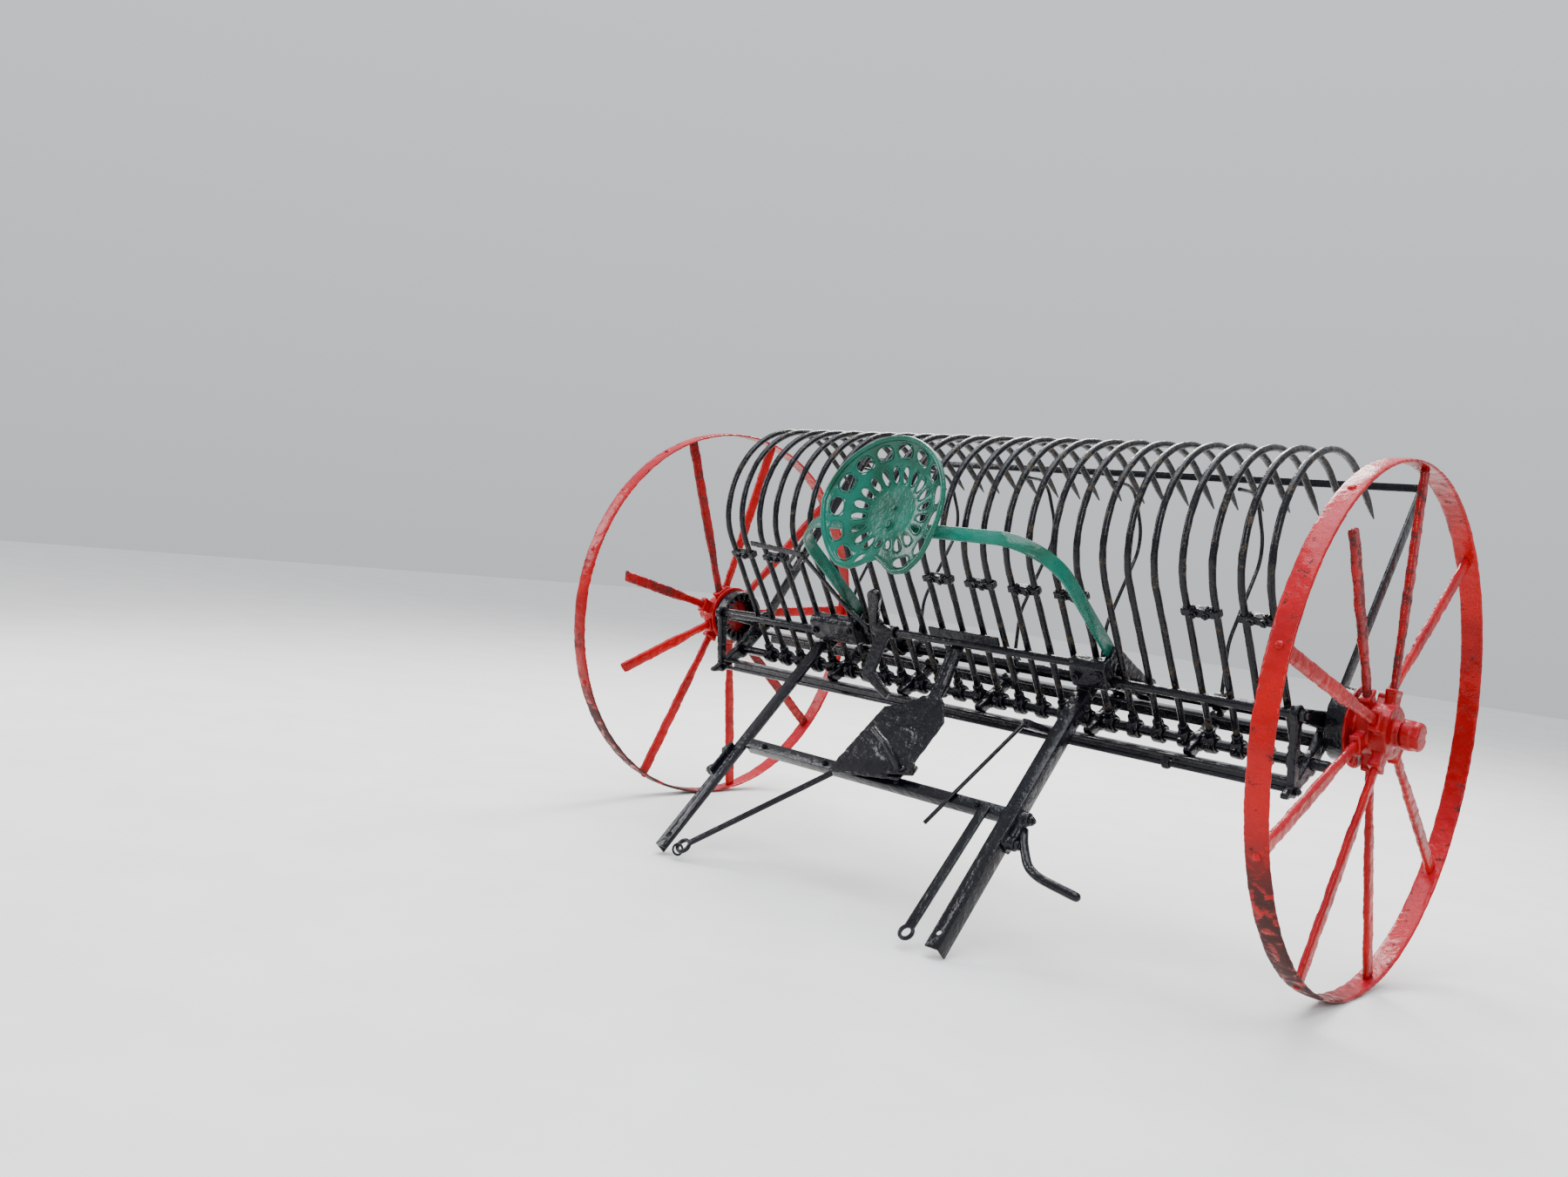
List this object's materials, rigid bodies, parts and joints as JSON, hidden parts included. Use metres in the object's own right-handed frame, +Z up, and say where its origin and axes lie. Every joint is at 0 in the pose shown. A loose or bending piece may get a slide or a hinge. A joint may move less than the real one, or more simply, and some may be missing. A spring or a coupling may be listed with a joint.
{
  "type": "dump hay rake",
  "caption": "Two-wheeled horse-drawn hay rake with a hinged row of hoop teeth, pan seat on an arch, footplate and shafts resting on the ground.",
  "frame": {"origin": "on the ground, in the middle of the bounding box", "axes": "+X along the axle to the right-hand wheel, -Y forward, where the shafts point, +Z up"},
  "size_m": [2.65, 1.5102, 1.3863],
  "materials": {
    "wheel_red": "worn brushed-on gloss paint",
    "frame_black": "thick gloss paint",
    "cast_black": "thick lumpy gloss paint",
    "seat_green": "brushed-on gloss paint"
  },
  "bodies": {
    "frame": {"axle": "frame_black", "main_beam": "frame_black", "lower_angle": "frame_black", "end_casting_right": "cast_black", "end_casting_left": "cast_black", "trip_rod": "frame_black", "low_rod": "frame_black", "shaft_hangers": "cast_black", "shaft_head_right": "cast_black", "shaft_head_left": "cast_black", "shaft_right": "frame_black", "shaft_left": "frame_black", "crossbar": "frame_black", "shaft_clamps": "cast_black", "footplate": "cast_black", "foot_pedal": "cast_black", "pedal_rod": "frame_black", "front_lug": "cast_black", "draw_link": "frame_black", "bent_leg": "frame_black", "brace_bar": "frame_black", "hand_lever": "frame_black", "lever_bracket": "cast_black", "seat_arch": "seat_green", "seat_pan": "seat_green", "rear_bar": "frame_black", "bar_struts": "frame_black", "stripper_rods": "frame_black"},
    "rake_head": {"tooth_shaft": "frame_black", "tooth_feet": "cast_black", "teeth_right": "frame_black", "teeth_left": "frame_black", "tooth_clips": "cast_black"},
    "wheel_right": {"rim_right": "wheel_red", "spokes_right": "wheel_red", "hub_right": "wheel_red", "ratchet_right": "cast_black", "hub_cap_right": "wheel_red"},
    "wheel_left": {"rim_left": "wheel_red", "spokes_left": "wheel_red", "hub_left": "wheel_red", "ratchet_left": "cast_black", "hub_cap_left": "wheel_red"}
  },
  "joints": [
    {"name": "rake_head_tilt", "type": "hinge", "parent": "frame", "child": "rake_head", "pos_m": [0, -0.03164, 0.58], "axis": [-1, 0, 0], "range_deg": [0, 55]},
    {"name": "wheel_right_spin", "type": "hinge", "parent": "frame", "child": "wheel_right", "pos_m": [1.22, 0.06836, 0.686], "axis": [1, 0, 0], "continuous": true},
    {"name": "wheel_left_spin", "type": "hinge", "parent": "frame", "child": "wheel_left", "pos_m": [-1.22, 0.06836, 0.686], "axis": [1, 0, 0], "continuous": true}
  ]
}
